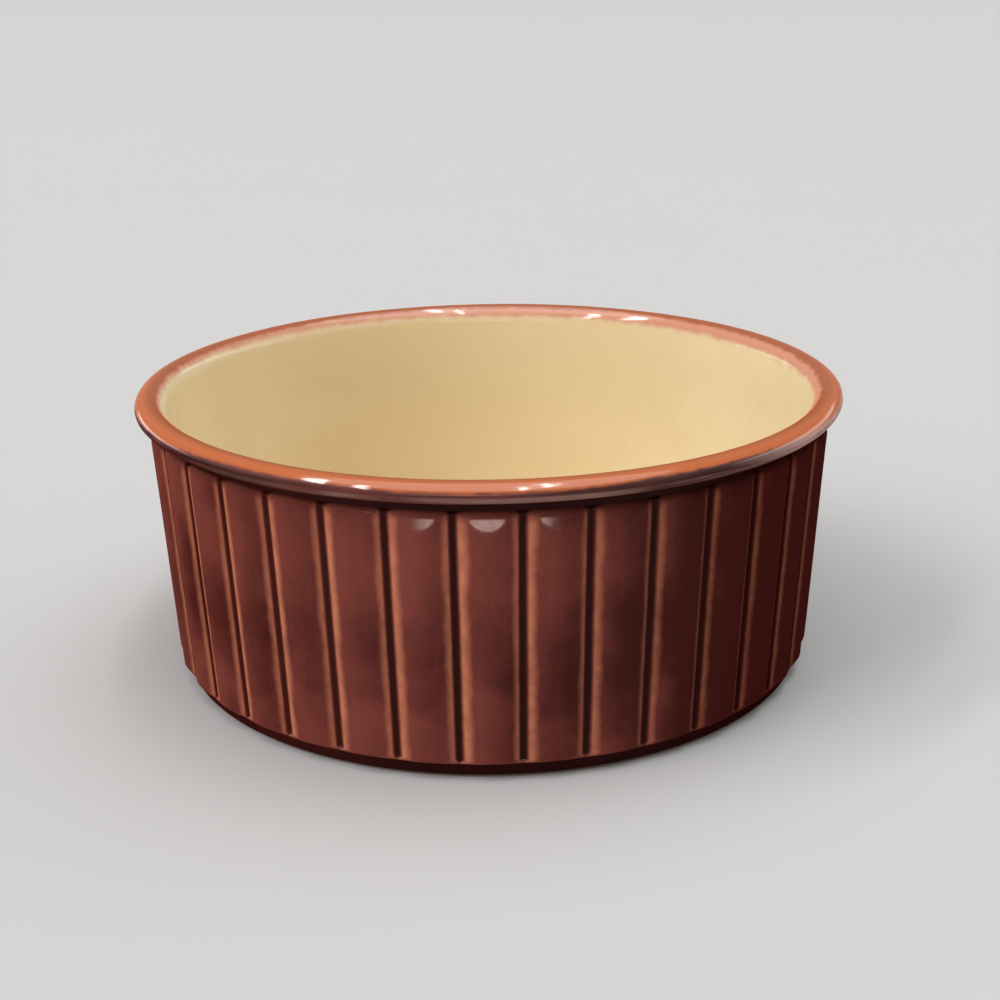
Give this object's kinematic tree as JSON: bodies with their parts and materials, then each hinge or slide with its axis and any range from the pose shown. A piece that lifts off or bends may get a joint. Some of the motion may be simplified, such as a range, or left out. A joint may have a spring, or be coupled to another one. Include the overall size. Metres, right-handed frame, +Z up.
{
  "type": "casserole dish",
  "caption": "Round open casserole dish in glazed stoneware, with a tapered wall of raised upright staves, a rolled rim and a drawn-in foot ring.",
  "frame": {"origin": "centre of the ring that the dish stands on, at table height", "axes": "+Z up along the dish's axis of turning; -Y is the front, with a stave centred on it; +X is to the right"},
  "size_m": [0.1988, 0.1988, 0.0804],
  "materials": {
    "stoneware": "bare fired clay, matt",
    "brown_glaze": "glossy brown glaze that breaks to orange on edges and pools dark in grooves",
    "cream_glaze": "glossy honey cream glaze"
  },
  "bodies": {
    "root": {"stoneware_body": "stoneware", "outer_glaze": "brown_glaze", "liner_glaze": "cream_glaze", "underside_glaze": "brown_glaze"}
  },
  "joints": []
}
